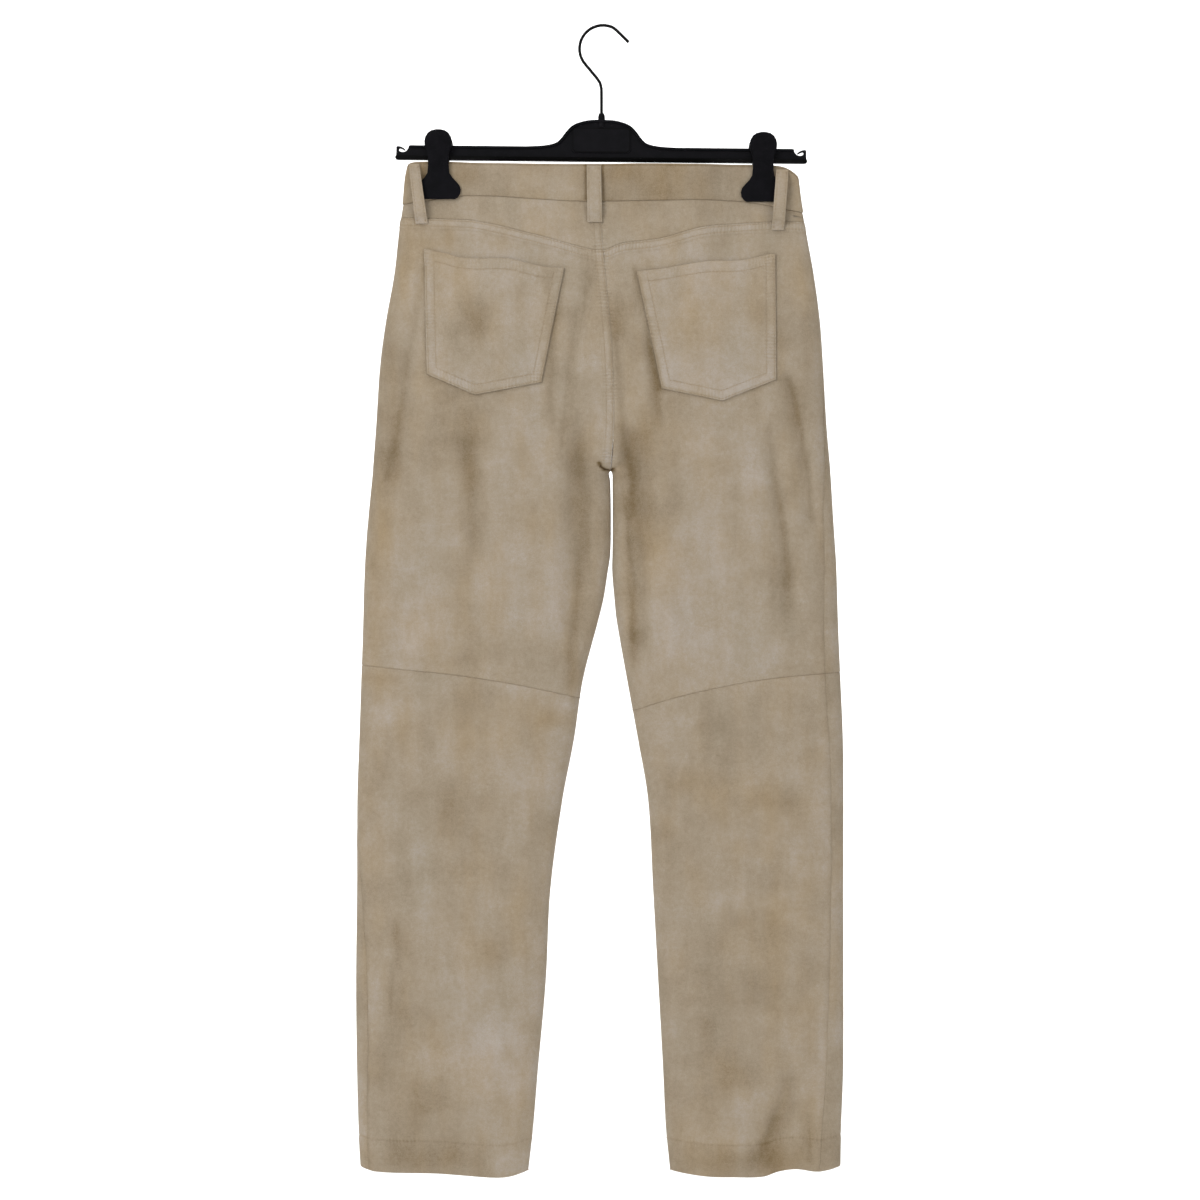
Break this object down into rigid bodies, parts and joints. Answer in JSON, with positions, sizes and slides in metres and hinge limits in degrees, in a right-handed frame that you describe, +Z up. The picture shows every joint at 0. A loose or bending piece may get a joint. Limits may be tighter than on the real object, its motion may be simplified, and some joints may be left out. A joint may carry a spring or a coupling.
{
  "type": "suede trousers on a clip hanger",
  "caption": "Straight suede trousers with back yoke, patch pockets and knee seams, hung by the waistband from a clip hanger with a wire hook.",
  "frame": {"origin": "the inside top of the hook's wire, where the rail bears", "axes": "+Z up, +X to the right as the back of the garment is seen, -Y out of the back of the garment, +Y out of its front"},
  "size_m": [0.4868, 0.0495, 1.1514],
  "materials": {
    "suede": "tan suede, blotchy matt nap, a thin hide",
    "hanger_plastic": "black moulded plastic, satin",
    "hook_wire": "black coated steel wire",
    "spring_steel": "plain strip steel",
    "button_brass": "dull aged brass"
  },
  "bodies": {
    "root": {"back_shin_left": "suede", "back_shin_right": "suede", "back_thigh_left": "suede", "back_thigh_right": "suede", "button": "button_brass", "clip_left_back_jaw": "hanger_plastic", "clip_left_front_jaw": "hanger_plastic", "clip_left_spring": "spring_steel", "clip_right_back_jaw": "hanger_plastic", "clip_right_front_jaw": "hanger_plastic", "clip_right_spring": "spring_steel", "fly_placket": "suede", "front_shin_left": "suede", "front_shin_right": "suede", "front_thigh_left": "suede", "front_thigh_right": "suede", "hanger_bar": "hanger_plastic", "hanger_plate": "hanger_plastic", "hook": "hook_wire", "hook_collar": "hanger_plastic", "loop_back_centre": "suede", "loop_back_left": "suede", "loop_back_right": "suede", "loop_front_left": "suede", "loop_front_right": "suede", "pocket_left": "suede", "pocket_right": "suede", "waistband": "suede", "yoke_left": "suede", "yoke_right": "suede"}
  },
  "joints": []
}
